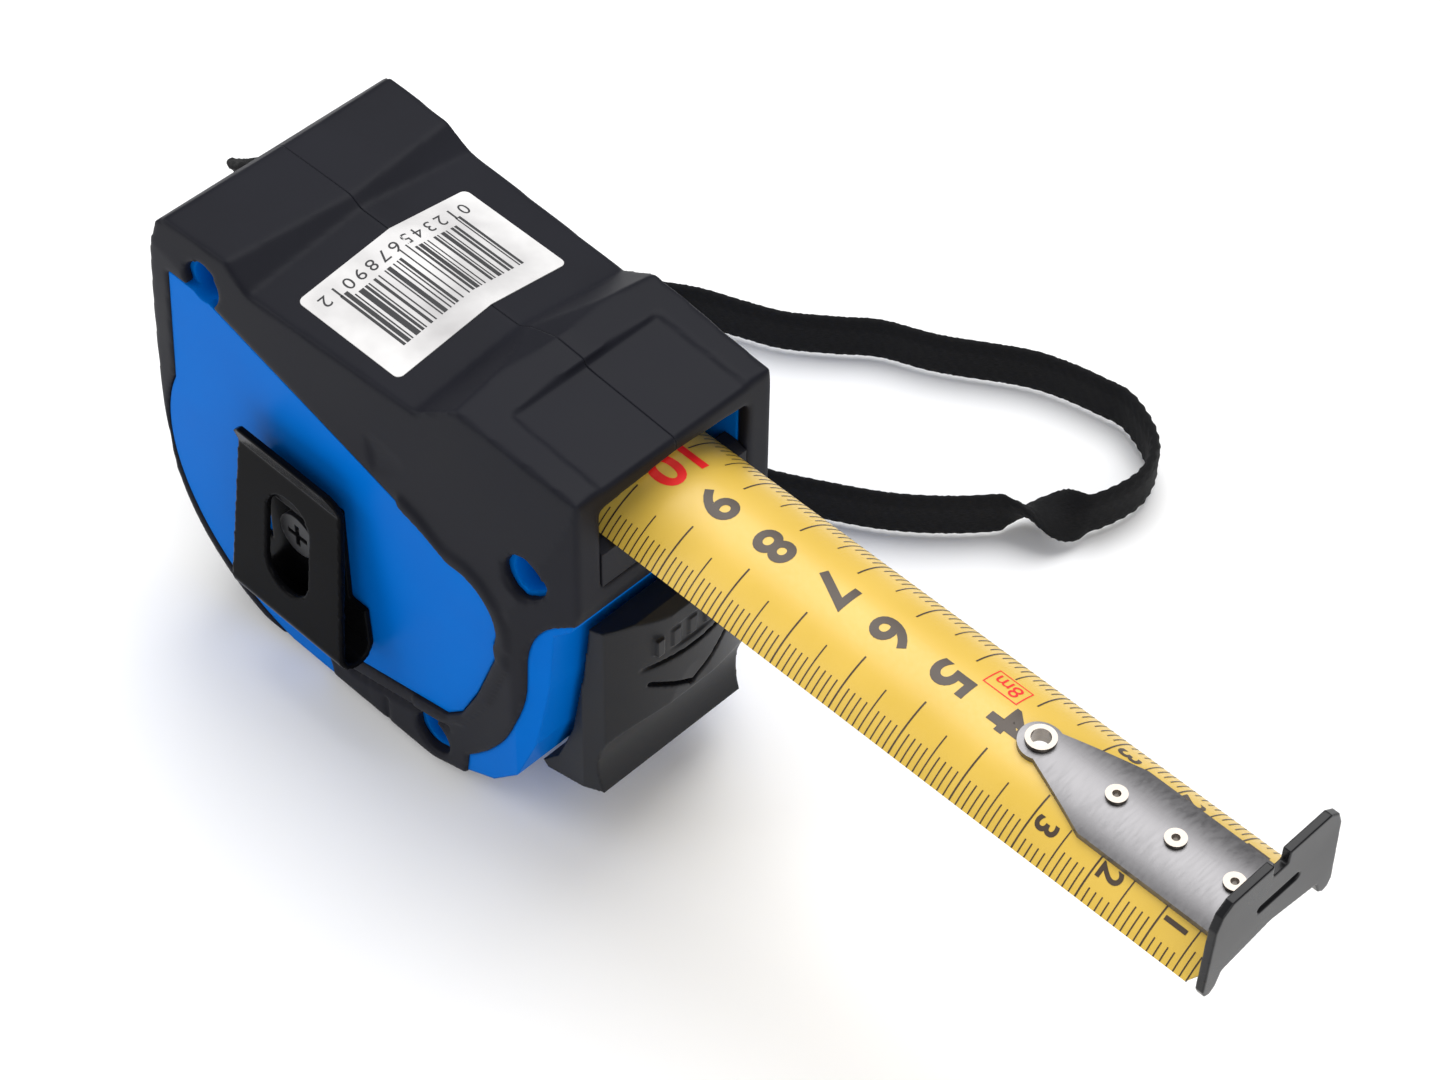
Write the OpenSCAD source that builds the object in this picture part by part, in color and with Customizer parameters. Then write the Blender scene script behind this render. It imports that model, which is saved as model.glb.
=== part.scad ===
// Pocket tape measure with rubber-gripped case, wrist strap and belt clip.
// X is the way the blade comes out, Y runs through the thickness (clip side -Y),
// Z is up. The case lies on its crown, with its base facing up.

/* [Case] */
// Thickness of the case across the grip
case_t = 42.4; // [38:0.2:52]
// Depth of the rubber grip over the shell
grip_depth = 1.7; // [1.2:0.1:2.4]
// Wall of the plastic shell
shell_wall = 1.9; // [1.4:0.1:2.4]
// Width of the sunken rectangle in the front foot
pocket_w = 26.4; // [18:0.2:30]
// Gap between the two halves of the grip
seam_gap = 0.2; // [0.1:0.05:0.5]

/* [Blade] */
// Flat width of the blade
blade_w = 25; // [19:0.5:26]
// Radius of the curve across the blade
blade_curve_r = 14.6; // [13.5:0.1:24]
// Thickness of the blade strip with its coating
blade_t = 0.2; // [0.14:0.02:0.36]
// Length of blade standing out of the mouth
blade_out = 97.2; // [50:0.2:200]

/* [Hook] */
// Thickness of the end plate, which is also its play
lip_t = 1.2; // [0.8:0.1:1.8]
// Height of the end plate above the blade
lip_h = 11; // [6:0.5:14]
// Half width of the end plate at its foot
lip_half_w = 11.8; // [11.5:0.1:14]
// Radius of the rivet shanks
rivet_r = 0.95; // [0.8:0.05:1.3]
// Radius of the hole through the eyelet
eyelet_r = 1.3; // [1:0.1:1.9]

/* [Reel] */
// Outer radius of the wound blade
coil_r = 24.5; // [22:0.1:24.7]
// Radius of the drum the blade winds on
drum_r = 14.3; // [12:0.1:16]
// Outer radius of the drum flanges
flange_r = 26; // [25.4:0.1:26.4]
// Radius of the fixed post
post_r = 3.2; // [2.8:0.1:3.6]
// Running clearance on the post
post_clear = 0.05; // [0.02:0.01:0.1]

/* [Lock] */
// Width of the lock button
button_w = 28; // [22:0.5:29]
// Travel of the lock button
button_travel = 4.5; // [3:0.5:4.5]

/* [Clip and strap] */
// Width of the belt clip at its fold
clip_w = 24; // [18:0.5:26]
// Thickness of the clip steel
clip_t = 1; // [0.8:0.1:1.2]
// Width of the strap webbing
strap_w = 8; // [5:0.5:8]
// Thickness of the strap webbing
strap_t = 2; // [1.4:0.1:2.4]

/* [Hidden] */
$fn = 96;
half_t = case_t / 2;
reel_z = 32;
mouth_x = 50.3;
crest_z = 66;
tail_x = 28;
hook_x = mouth_x + blade_out + 0.5;
half_angle = blade_w / 2 / blade_curve_r * 180 / PI;
blade_half = blade_curve_r * sin(half_angle);
blade_sag = blade_curve_r * (1 - cos(half_angle));
curve_z = crest_z - blade_curve_r;
edge_z = crest_z - blade_sag - blade_t * cos(half_angle);
panel_slope = 16.1;
well_r = 3.4;
wells = [[-19, 65.2], [42.4, 54.6], [23.2, 6.8]];
screw_head_y = -11;
rivets = [hook_x - 23.7, hook_x - 14.6, hook_x - 5.7];
eyelet_x = hook_x - 35.6;
eyelet_shank = eyelet_r + 0.35;
brake_pin = [24, 54];
button_crown = 25;
strap_bar_at = [-26.6, 64.6];
bead_h = 0.55;
thumb_r = 9.2;
thumb_depth = grip_depth - 0.7;
// Strap: middle line of the webbing from under the bar, round the loop, to above the bar.
strap_route = [
  [-26.6, 0, 62.4], [-30.2, 0, 61.8], [-33.4, 2, 58], [-35.2, 8, 51], [-36, 17.5, 42],
  [-33.6, 27, 28], [-26, 34, 15], [-16, 39, 7.5], [-3, 41, 5], [8, 43, 4.5], [20, 46.5, 4.5],
  [32, 53, 4.5], [39.5, 58, 4.5], [46, 64, 4.5], [52.5, 71.5, 4.5], [58.5, 76.5, 4.5],
  [61, 83, 4.5], [61, 89, 4.5], [57.5, 94.5, 4.5], [50, 98, 4.5], [44.5, 97.5, 4.5],
  [38, 96, 4.5], [32, 93.5, 4.5], [21, 86.5, 4.5], [12.5, 82.5, 4.5], [7, 78, 4.5],
  [0.5, 73, 4.5], [-6, 70, 4.5], [-13, 67, 4.5], [-20, 62, 5], [-28, 54, 9], [-35.6, 43, 18],
  [-39.6, 31, 31], [-40.6, 20, 42], [-39.6, 9.6, 49.6], [-37, 3.2, 56.5], [-33.2, 0.4, 63.1],
  [-30.5, 0, 66.4], [-26.6, 0, 66.8]];
// Place along the route where the webbing turns over on the floor
strap_turn = 13.6;

// Every separate piece of the object
// The piece to draw, or all of them

// A shape drawn in x and z, carried along y from y0 to y1
module along_y(y0, y1) translate([0, y1, 0]) rotate([90, 0, 0]) linear_extrude(y1 - y0) children();

// A shape drawn in y and z, carried along x from x0 to x1
module along_x(x0, x1)
  translate([x0, 0, 0]) rotate([90, 0, 90]) linear_extrude(x1 - x0) children();

module rounded_rect(w, h, r) {
  square([w - 2 * r, h], center = true);
  square([w, h - 2 * r], center = true);
  for (a = [-1, 1], b = [-1, 1]) translate([a * (w / 2 - r), b * (h / 2 - r)]) circle(r = r);
}

// Side view of the whole case at full size
module side_full() {
  translate([-5.4, 26.2]) circle(r = 26);
  polygon([[-12, 1.5], [-2, 0], [18, 0], [24, 1.8], [30, 4], [36, 7.2], [41, 12.6], [44, 21],
    [46.2, 34], [47, 45.5], [49.4, 47.6], [50.3, 51.5], [50.3, 72], [49.3, 73.2], [28.5, 74.8],
    [23, 73], [-14, 73], [-25.6, 72.8], [-28.3, 70.5], [-29.6, 65], [-30.6, 55], [-31.3, 45],
    [-31.9, 33], [-30.9, 20]]);
}

// Side view drawn in by a depth
module side_in(d) translate([5, 37]) scale((37 - d) / 37) translate([-5, -37]) side_full();

// Outer form of the case drawn in by a depth
module form(d) {
  w = half_t - d;
  difference() {
    along_y(-w, w) side_in(d);
    for (s = [0, 1]) mirror([0, s, 0]) {
      // long side chamfer up to the base
      translate([0, -w, 58.6]) rotate([0, panel_slope, 0]) rotate([-8.3, 0, 0])
        translate([-90, -30, 0]) cube([180, 30, 70]);
      // taper towards the nose
      translate([40.5, -w, 0]) rotate([0, 0, 21]) translate([0, -30, -10]) cube([60, 30, 100]);
      // eased crown edge
      translate([0, -w, 1.6]) rotate([-35, 0, 0]) translate([-60, -20, -30]) cube([130, 30, 30]);
      // sunken middle of the base
      translate([0, 0, 71.8 - d]) rotate([7.8, 0, 0]) mirror([0, 1, 0])
        along_y(-2, 30) polygon([[-24.2, 9.2], [-9.8, 0], [21.5, 0], [35.5, 9.2]]);
      // slight fall of the two feet
      translate([0, 0, 73 - d]) rotate([3, 0, 0]) mirror([0, 1, 0])
        along_y(-2, 30) polygon([[-50, 0], [8, 0], [20, 2.4], [28.6, 1.9], [60, -0.5], [60, 12],
          [-50, 12]]);
    }
  }
}

// Smooth step from b to c between a and d
function mix4(a, b, c, d, t) = 0.5 * (2 * b + (c - a) * t + (2 * a - 5 * b + 4 * c - d) * t * t
  + (3 * b - a - 3 * c + d) * t * t * t);

// Smooth open curve through points
function curve(p, n = 5) = let (m = len(p) - 1) concat([for (i = [0 : m - 1], k = [0 : n - 1])
  mix4(p[max(0, i - 1)], p[i], p[i + 1], p[min(m, i + 2)], k / n)], [p[m]]);

// Outline of the raised side panel, seen from the clip side
module panel_2d(d) {
  intersection() {
    translate([-3, 29]) circle(r = 27.7 - d);
    polygon([[-40, 0], [0, 0], [0, 60], [-40, 60]]);
  }
  difference() {
    union() {
      translate([-3, 29]) circle(r = 27.7 - d);
      polygon([[-10, 12], [20, 8], [30, 17.8 + d], [33.5 - d, 25], [37.6 - d, 36], [36.6 - d, 45],
        [24, 50.5 - d], [-18, 63 - d], [-26, 63 - d], [-28, 40]]);
      translate([31.4, 41.6]) circle(r = 6.6 - d);
    }
    // upper edge falling towards the mouth
    translate([-40, 69.1 - d]) rotate(-panel_slope) square([110, 30]);
    // lower edge along the crown
    translate([-40, 0]) translate([46, 9.4 + d]) rotate(14.5) translate([-6, -40]) square([80, 40]);
    translate([-2, 4.2 + d]) rotate(14.5) translate([-60, -40]) square([78, 36]);
  }
}

// Side view of what the grip leaves bare at the nose
module nose_bare() polygon(concat([[70, 49.6], [70, -9], [28, -9]],
  curve([[30.6, 8.6], [35, 13.6], [39.2, 20.6], [42.2, 30], [43, 40.6], [45.6, 46.4],
    [50.9, 49.6]])));

// Room for the blade from the mouth to the back
module blade_room() {
  along_x(-13.4, 60) polygon([[-13.2, 56.5], [13.2, 56.5], [13.2, 64], [0, 67.4], [-13.2, 64]]);
  along_x(43.6, 60) polygon([[-13.2, 54], [13.2, 54], [13.2, 68.6], [0, 69.6], [-13.2, 68.6]]);
}

// Hollow for the reel
module reel_room() {
  along_y(-half_t + 3.4, half_t - 3.4) translate([0, reel_z]) circle(r = 27.4);
}

// Room for the brake and the carriage behind the nose
module brake_room() {
  along_y(-8.6, 8.6) polygon([[20.4, 50.4], [30, 44], [33.6, 36], [34, 19.6], [41.2, 19.6], [43.6, 33],
    [44, 44], [43.6, 58], [20.4, 58]]);
}

// Notch at the back for the strap
module strap_notch() {
  along_y(-5.4, 5.4) polygon([[-40, 58.6], [-24.6, 58.6], [-23.4, 61], [-23.4, 68],
    [-24.8, 70.2], [-40, 70.2]]);
}

module wells_cut(r, y0, y1) for (p = wells) along_y(y0, y1) translate(p) circle(r = r);

// Shell before it is split in two
module shell_whole() {
  difference() {
    union() {
      form(grip_depth);
      // nose standing out level with the grip
      intersection() {
        form(0.5);
        along_y(-40, 40) nose_bare();
      }
      // raised side panels
      intersection() {
        form(0.3);
        union() {
          along_y(-half_t, -half_t + grip_depth + 0.3) panel_2d(0);
          along_y(half_t - grip_depth - 0.3, half_t) panel_2d(0);
        }
      }
    }
    reel_room();
    blade_room();
    brake_room();
    strap_notch();
    // slot for the stem of the button
    translate([38, -3.2, 20.4]) cube([20, 6.4, 19.6]);
    wells_cut(well_r - 0.6, -30, screw_head_y - 1.2);
    wells_cut(1.75, -30, 0);
    wells_cut(1.3, -1, half_t - 6);
    // bores for the post and the two cross pins
    along_y(-half_t + 1.6, half_t - 1.6) translate([0, reel_z]) circle(r = post_r);
    along_y(-10.6, 10.6) translate(brake_pin) circle(r = 1.25);
    along_y(-8.6, 8.6) translate(strap_bar_at) circle(r = 1.25);
    along_y(-half_t - 1, 0) translate([0, reel_z]) circle(r = 2.1);
  }
  // collars that keep the reel in the middle
  for (s = [-1, 1]) difference() {
    along_y(s > 0 ? 14.2 : -half_t + 3, s > 0 ? half_t - 3 : -14.2)
      translate([0, reel_z]) circle(r = 6.4);
    along_y(-half_t + 1.6, half_t - 1.6) translate([0, reel_z]) circle(r = post_r);
  }
}

module shell_left() color([0.02, 0.42, 0.78]) difference() {
  shell_whole();
  translate([-60, 0, -20]) cube([140, 60, 120]);
}

module shell_right() color([0.02, 0.42, 0.78]) difference() {
  shell_whole();
  translate([-60, -60, -20]) cube([140, 60, 120]);
}

// Grip before it is split in two
module grip_whole() {
  difference() {
    union() {
      form(0);
      // raised bead round the front end of each side panel
      intersection() {
        form(-bead_h);
        for (s = [0, 1]) mirror([0, s, 0]) along_y(-half_t - 3, -half_t + 1) difference() {
          panel_2d(-2.3);
          panel_2d(-0.25);
          translate([-60, -20]) square([80, 100]);
        }
      }
    }
    form(grip_depth);
    along_y(-40, 40) nose_bare();
    along_y(-40, -half_t + grip_depth + 0.3) panel_2d(-0.25);
    along_y(half_t - grip_depth - 0.3, 40) panel_2d(-0.25);
    along_x(40, 60) polygon([[-13.2, 54], [13.2, 54], [13.2, 68.6], [0, 69.6], [-13.2, 68.6]]);
    strap_notch();
    along_y(-8.6, 8.6) translate(strap_bar_at) circle(r = 1.4);
    wells_cut(well_r, -30, -10);
    // sunken rectangle in the front foot, open to the front
    translate([33.6, -pocket_w / 2, 73.4]) rotate([0, 4.2, 0]) cube([30, pocket_w, 6]);
    // thumb hollow under the front foot
    for (s = [-1, 1]) translate([26, s * (half_t + thumb_r - thumb_depth), 62])
      rotate([0, 74, 0]) cylinder(r = thumb_r, h = 26, center = true);
    // step along the crown on both sides
    for (s = [0, 1]) mirror([0, s, 0]) translate([6, -half_t - 10, 5.4]) rotate([0, -14.5, 0])
      cube([22, 10.7, 1.1]);
    // two short grooves in each crown edge
    for (s = [0, 1], x = [9, 13]) mirror([0, s, 0]) translate([x, -half_t - 10, 1.6])
      cube([0.8, 10.6, 5]);
    // notches across the crown
    for (x = [4.4, 19]) translate([x, -40, -8.8]) rotate([0, 0, 0]) cube([1.6, 80, 9.6]);
  }
}

module grip_left() color([0.14, 0.14, 0.16]) difference() {
  grip_whole();
  translate([-60, -seam_gap / 2, -20]) cube([140, 60, 120]);
}

module grip_right() color([0.14, 0.14, 0.16]) difference() {
  grip_whole();
  translate([-60, -60 + seam_gap / 2, -20]) cube([140, 60, 120]);
}

module barcode_label() color([0.92, 0.92, 0.9]) intersection() {
  difference() {
    form(-0.12);
    form(0);
  }
  translate([6, -1.4, 60]) linear_extrude(30) rounded_rect(20, 30, 1);
}

module case_screws() color([0.6, 0.6, 0.62]) for (p = wells) {
  difference() {
    along_y(screw_head_y - 1.2 - 1.8, screw_head_y - 1.2) translate(p) circle(r = 2.6);
    along_y(screw_head_y - 4, screw_head_y - 2.1) translate(p) {
      square([2.8, 0.7], center = true);
      square([0.7, 2.8], center = true);
    }
  }
  along_y(screw_head_y - 1.2, 9) translate(p) circle(r = 1.3);
}

// Side view of the clip strip, drawn in y and z
module clip_side() {
  y0 = -half_t + 0.25;
  z0 = 17.6;
  r = 3.1;
  // leaf on the case
  translate([y0 - clip_t, z0]) square([clip_t, 24]);
  // fold
  difference() {
    translate([y0 - r, z0]) circle(r = r);
    translate([y0 - r, z0]) circle(r = r - clip_t);
    translate([y0 - 2 * r - 1, z0]) square([2 * r + 2, 2 * r]);
  }
  // free leaf, closing on the case and flaring at its lip
  a = -half_t + 0.25 - 2 * r;
  polygon([[a, z0], [a + clip_t, z0], [a + clip_t + 3.2, 44], [a + clip_t + 2.2, 47.6],
    [a + 2.0, 47.8], [a + 3.2 - 0.1, 44]]);
}

module belt_clip() color([0.07, 0.07, 0.08]) difference() {
  intersection() {
    along_x(-clip_w / 2, clip_w / 2) clip_side();
    along_y(-half_t - 20, 0) polygon([[-clip_w / 2, 10], [clip_w / 2, 10],
      [clip_w / 2 - 1.6, 46.4], [clip_w / 2 - 3.2, 48], [3.2 - clip_w / 2, 48],
      [1.6 - clip_w / 2, 46.4]]);
  }
  // oval window in the free leaf
  along_y(-half_t - 20, -half_t - 2.6) {
    for (z = [27, 35.6]) translate([0, z]) circle(r = 4.4);
    translate([-4.4, 27]) square([8.8, 8.6]);
  }
  // hole for the screw in the leaf on the case
  along_y(-half_t - 20, 0) translate([0, reel_z]) circle(r = 2.15);
  // leaf on the case is narrower than the free one
  for (s = [-1, 1]) translate([s * 13 - 5, -half_t - 1.2, 24]) cube([10, 4, 30]);
  // two pressed grooves in the free leaf
  for (s = [-1, 1]) translate([s * 7.6, -half_t - 6.35, 31]) rotate([-6.2, 0, 0])
    cylinder(r = 0.9, h = 21, center = true);
}

module clip_screw() color([0.25, 0.25, 0.27]) difference() {
  union() {
    along_y(-half_t - 2.3, -half_t - clip_t + 0.25) translate([0, reel_z]) circle(r = 3.6);
    along_y(-half_t - clip_t, -8) translate([0, reel_z]) circle(r = 1.9);
  }
  along_y(-half_t - 4, -half_t - 1.5) translate([0, reel_z]) {
    square([4, 0.9], center = true);
    square([0.9, 4], center = true);
  }
}

module reel_post() color([0.75, 0.75, 0.72]) difference() {
  along_y(-half_t + 1.6, half_t - 1.6) translate([0, reel_z]) circle(r = post_r);
  along_y(-half_t, -7.6) translate([0, reel_z]) circle(r = 1.9);
  // slit that holds the inner end of the spring
  translate([-0.4, -11.4, reel_z - 10]) cube([0.8, 22.8, 10]);
}

module mouth_bumper() color([0.2, 0.2, 0.22]) difference() {
  along_y(-13.1, 13.1) polygon([[46.2, 54.1], [50.2, 54.1], [50.2, edge_z - 0.64],
    [48.4, edge_z - 0.04], [46.2, edge_z - 0.04]]);
  along_y(-20, 20) translate(wells[1]) circle(r = 3.6);
}

module blade_guide() color([0.9, 0.9, 0.88]) intersection() {
  difference() {
    along_x(44.2, 47.8) polygon([[-4.6, 66.4], [4.6, 66.4], [4.6, 68.99], [0, 69.5], [-4.6, 68.99]]);
    along_x(40, 60) translate([0, curve_z]) circle(r = blade_curve_r + 0.45);
  }
  along_x(40, 60) translate([-4.6, 60]) square([9.2, 12]);
}

module strap_bar() color([0.55, 0.55, 0.57])
  along_y(-8.5, 8.5) translate(strap_bar_at) circle(r = 1.25);

module brake_pin() color([0.55, 0.55, 0.57])
  along_y(-10.5, 10.5) translate(brake_pin) circle(r = 1.25);

module lock_detent_spring() color([0.7, 0.7, 0.68]) along_y(6.6, 8.6) {
  polygon([[35, 24], [35.4, 24], [36.6, 32], [38.4, 35], [36.6, 38], [35.4, 43], [35, 43],
    [36.2, 38], [37.9, 35], [36.2, 32]]);
}

module reel_drum() color([0.16, 0.16, 0.17]) difference() {
  union() {
    along_y(-13.7, -12.9) translate([0, reel_z]) circle(r = flange_r);
    along_y(-12.9, 12.9) translate([0, reel_z]) circle(r = drum_r);
  }
  along_y(-12.1, 13) translate([0, reel_z]) circle(r = drum_r - 1.4);
  along_y(-20, 20) translate([0, reel_z]) circle(r = post_r + post_clear);
  // slot the blade end hooks into
  translate([drum_r - 3, -8, reel_z - 1]) cube([6, 16, 2]);
}

module reel_side_disc() color([0.2, 0.2, 0.22]) difference() {
  along_y(12.9, 13.7) translate([0, reel_z]) circle(r = flange_r);
  along_y(10, 20) translate([0, reel_z]) circle(r = post_r + post_clear);
  for (a = [0 : 60 : 300]) translate([19.6 * cos(a), 0, reel_z + 19.6 * sin(a)])
    rotate([90, 0, 0]) cylinder(r = 3.2, h = 60, center = true);
}

// Wound power spring between the post and the drum
turns = 7;
function coil_pt(t, r0, r1, o) = let (r = r0 + (r1 - r0) * t / turns + o)
  [r * cos(360 * t), reel_z + r * sin(360 * t)];
module power_spring() color([0.5, 0.52, 0.56]) along_y(-10.8, 10.8) polygon(concat(
  [for (t = [0 : 1 / 24 : turns]) coil_pt(t, 4.4, 12.1, 0)],
  [for (t = [turns : -1 / 24 : 0]) coil_pt(t, 4.4, 12.1, 0.45)]));

module blade_coil() color([0.9, 0.75, 0.25]) difference() {
  along_y(-blade_w / 2, blade_w / 2) translate([0, reel_z]) circle(r = coil_r);
  along_y(-20, 20) translate([0, reel_z]) circle(r = drum_r);
}

// Wedge that keeps the sector of a curve seen from the curve centre
module sector(a, r) polygon([[0, 0], [r * sin(-a), r * cos(-a)], [-r * 0.4, r * 1.6],
  [r * 0.4, r * 1.6], [r * sin(a), r * cos(a)]]);

// Curved strip following the blade, between two radii and within an angle
module curved_strip(x0, x1, r0, r1, a) along_x(x0, x1) translate([0, curve_z]) intersection() {
  difference() {
    circle(r = r1, $fn = 180);
    circle(r = r0, $fn = 180);
  }
  sector(a, r1 * 1.5);
}

// Slot in the blade that lets a rivet slide by the play
module play_slot(x, r) translate([x, 0, crest_z - 3]) {
  cylinder(r = r, h = 6);
  translate([lip_t + 0.1, 0, 0]) cylinder(r = r, h = 6);
  translate([0, -r, 0]) cube([lip_t + 0.1, 2 * r, 6]);
}

module blade() color([0.93, 0.79, 0.3]) difference() {
  curved_strip(tail_x, hook_x - 1.8, blade_curve_r - blade_t, blade_curve_r, half_angle);
  // slots as long as the play, so the rivets can slide with the plate
  for (x = rivets) play_slot(x, rivet_r + 0.05);
  play_slot(eyelet_x, eyelet_shank + 0.05);
  // clipped corners at the hook end
  for (s = [-1, 1]) translate([hook_x - 1.8, s * blade_half, crest_z - blade_sag])
    rotate([0, 0, 45]) cube([2, 2, 3], center = true);
}

module hook_rivets() color([0.72, 0.66, 0.6]) for (x = rivets) translate([x, 0, crest_z]) {
  difference() {
    union() {
      translate([0, 0, 0.85]) cylinder(r = rivet_r + 0.45, h = 0.45);
      translate([0, 0, -0.9]) cylinder(r = rivet_r, h = 2);
      translate([0, 0, -blade_t - 0.7]) cylinder(r = rivet_r + 0.5, h = 0.5);
    }
    translate([0, 0, -2]) cylinder(r = rivet_r * 0.58, h = 5);
  }
}

module hook_eyelet() color([0.78, 0.72, 0.66]) translate([eyelet_x, 0, crest_z]) difference() {
  union() {
    translate([0, 0, 0.85]) cylinder(r = eyelet_shank + 0.35, h = 0.5);
    translate([0, 0, -1.05]) cylinder(r = eyelet_shank, h = 2.1);
    translate([0, 0, -blade_t - 0.85]) cylinder(r = eyelet_shank + 0.4, h = 0.5);
  }
  translate([0, 0, -2]) cylinder(r = eyelet_r, h = 5);
}

module hook_plate() color([0.62, 0.62, 0.64]) difference() {
  intersection() {
    curved_strip(hook_x - 40, hook_x - lip_t, blade_curve_r + 0.02, blade_curve_r + 0.8, 40);
    translate([0, 0, crest_z - 8]) linear_extrude(12) {
      translate([eyelet_x, 0]) circle(r = eyelet_shank + 1.25);
      polygon([[eyelet_x + 0.6, -2.5], [hook_x - 26.4, -5.6], [hook_x - 24, -6.5],
        [hook_x, -6.5], [hook_x, 6.5], [hook_x - 24, 6.5], [hook_x - 26.4, 5.6],
        [eyelet_x + 0.6, 2.5]]);
    }
  }
  for (x = rivets) translate([x, 0, crest_z - 3]) cylinder(r = rivet_r, h = 8);
  translate([eyelet_x, 0, crest_z - 3]) cylinder(r = eyelet_shank, h = 8);
}

module hook_lip() color([0.1, 0.1, 0.11]) difference() {
  union() {
    along_x(hook_x - lip_t, hook_x) {
      h = lip_half_w;
      t = crest_z + lip_h;
      polygon([[-h + 1.4, 60.8], [-h + 0.5, 61.2], [-h, 62.4], [-h + 0.5, t - 3.4],
        [-h + 1.3, t - 1.2], [-h + 3, t], [h - 3, t], [h - 1.3, t - 1.2], [h - 0.5, t - 3.4],
        [h, 62.4], [h - 0.5, 61.2], [h - 1.4, 60.8], [h - 2.4, 61.6], [h - 3.2, 63.8],
        [0, 65.2], [-h + 3.2, 63.8], [-h + 2.4, 61.6]]);
    }
  }
  // nail slot and nail notch
  along_x(hook_x - 5, hook_x + 5) translate([0.4, 70.2]) rounded_rect(7.6, 1.3, 0.6);
  along_x(hook_x - 5, hook_x + 5)
    polygon([[-2.2, 90], [-1.4, 75], [1.2, 75], [2.2, 90]]);
}

// Side view of the lock button
module button_side() polygon([[47.9, 44.2], [52, 44.8], [53.6, 43.6], [54.1, 34.6],
  [53.6, 26], [53, 18], [51, 12], [49.8, 10.6], [39.4, 7.6], [38.4, 8.6], [41.6, 12.4],
  [44.6, 20.8], [46.9, 34]]);

module lock_button() color([0.1, 0.1, 0.11]) difference() {
  union() {
    difference() {
      intersection() {
        along_y(-button_w / 2, button_w / 2) button_side();
        // front crowned across its width
        translate([28.9, 0, 0]) cylinder(r = button_crown, h = 60, $fn = 180);
      }
      // sides drawn in towards the front
      for (s = [0, 1]) mirror([0, s, 0]) translate([46.6, -button_w / 2, 0])
        rotate([0, 0, 14]) translate([0, -20, -10]) cube([30, 20, 80]);
      // thumb scoop
      along_y(-30, 30) translate([62.1, 15.5]) circle(r = 13.2);
      // two grooves pointing along the travel, and one across
      for (s = [0, 1]) mirror([0, s, 0]) translate([52.9, 0, 26.6]) rotate([32, 0, 0])
        translate([-1, -0.4, 0]) cube([4, 9.4, 0.8]);
      translate([52.3, -10, 34.6]) cube([4, 20, 0.8]);
      // shallow field for the raised bars
      translate([53.5, -9, 36.6]) cube([2, 18, 4.6]);
    }
    for (y = [-6 : 3 : 6]) translate([52.6, y - 0.7, 37.4]) cube([1.2, 1.4, 3]);
    // stem through the nose
    translate([40.6, -2.8, 25.4]) cube([8.4, 5.6, 9.6]);
  }
}

module lock_carriage() color([0.85, 0.85, 0.82]) along_y(-6, 6)
  polygon([[38.4, 25], [40.6, 25], [40.6, 50], [35, 50], [35, 48.2], [38.4, 47.8]]);

module brake_lever() color([0.85, 0.85, 0.82]) difference() {
  along_y(-7.6, 7.6) union() {
    translate(brake_pin) circle(r = 2.9);
    polygon([[24, 51.1], [38.2, 50.2], [38.6, 56], [37.6, 58.4], [33, 58.4], [31, 56.9],
      [24, 56.9]]);
  }
  along_y(-20, 20) translate(brake_pin) circle(r = 1.3);
}

module brake_pad() color([0.12, 0.12, 0.13]) intersection() {
  along_y(-7, 7) polygon([[33.4, 58.4], [37.4, 58.4], [37.4, 67], [33.4, 67]]);
  along_x(30, 45) translate([0, curve_z]) circle(r = blade_curve_r - blade_t - 0.3);
}

// Turn of the webbing about its middle line: flat at both ends, on edge on the floor
function clamp(t) = max(0, min(1, t));
function turn(s) = 90 * clamp(1 - s / 6) + 180 * clamp((s - strap_turn) / 1.6)
  + 90 * clamp(1 - (last - s) / 6);

// One ring of the webbing about its middle line
function ring(p, d, a0) = let (t = d / norm(d), u = [0, 0, 1] - t * t[2], e = u / norm(u),
    f = cross(t, e), v = e * cos(a0) + f * sin(a0), n = cross(v, t))
  [for (a = [0 : 36 : 324]) p + n * (strap_t / 2 * cos(a)) + v * (strap_w / 2 * sin(a))];

// Smooth middle line through the route
last = len(strap_route) - 1;
function at(i) = strap_route[max(0, min(last, i))];
function mid(s) = let (i = min(last - 1, floor(s)), t = s - i)
  mix4(at(i - 1), at(i), at(i + 1), at(i + 2), t);
function way(s) = mid(min(last, s + 0.05)) - mid(max(0, s - 0.05));

module wrist_strap() color([0.06, 0.06, 0.06]) {
  steps = 78;
  sides = 10;
  rings = [for (k = [0 : steps]) let (s = last * k / steps) ring(mid(s), way(s), turn(s))];
  polyhedron([for (r = rings) for (p = r) p], concat(
    [[for (j = [0 : sides - 1]) j]],
    [for (k = [0 : steps - 1], j = [0 : sides - 1], h = [0, 1]) let (n = (j + 1) % sides)
      h == 0 ? [k * sides + j, (k + 1) * sides + j, (k + 1) * sides + n]
      : [k * sides + j, (k + 1) * sides + n, k * sides + n]],
    [[for (j = [sides - 1 : -1 : 0]) steps * sides + j]]));
}

shell_left();
shell_right();
grip_left();
grip_right();
barcode_label();
case_screws();
belt_clip();
clip_screw();
reel_post();
mouth_bumper();
blade_guide();
strap_bar();
wrist_strap();
brake_pin();
lock_detent_spring();
reel_drum();
reel_side_disc();
power_spring();
blade_coil();
blade();
hook_rivets();
hook_eyelet();
hook_plate();
hook_lip();
lock_button();
lock_carriage();
brake_lever();
brake_pad();
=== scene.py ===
import math

import bmesh
import bpy
from mathutils import Matrix, Vector
from mathutils.bvhtree import BVHTree


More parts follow.
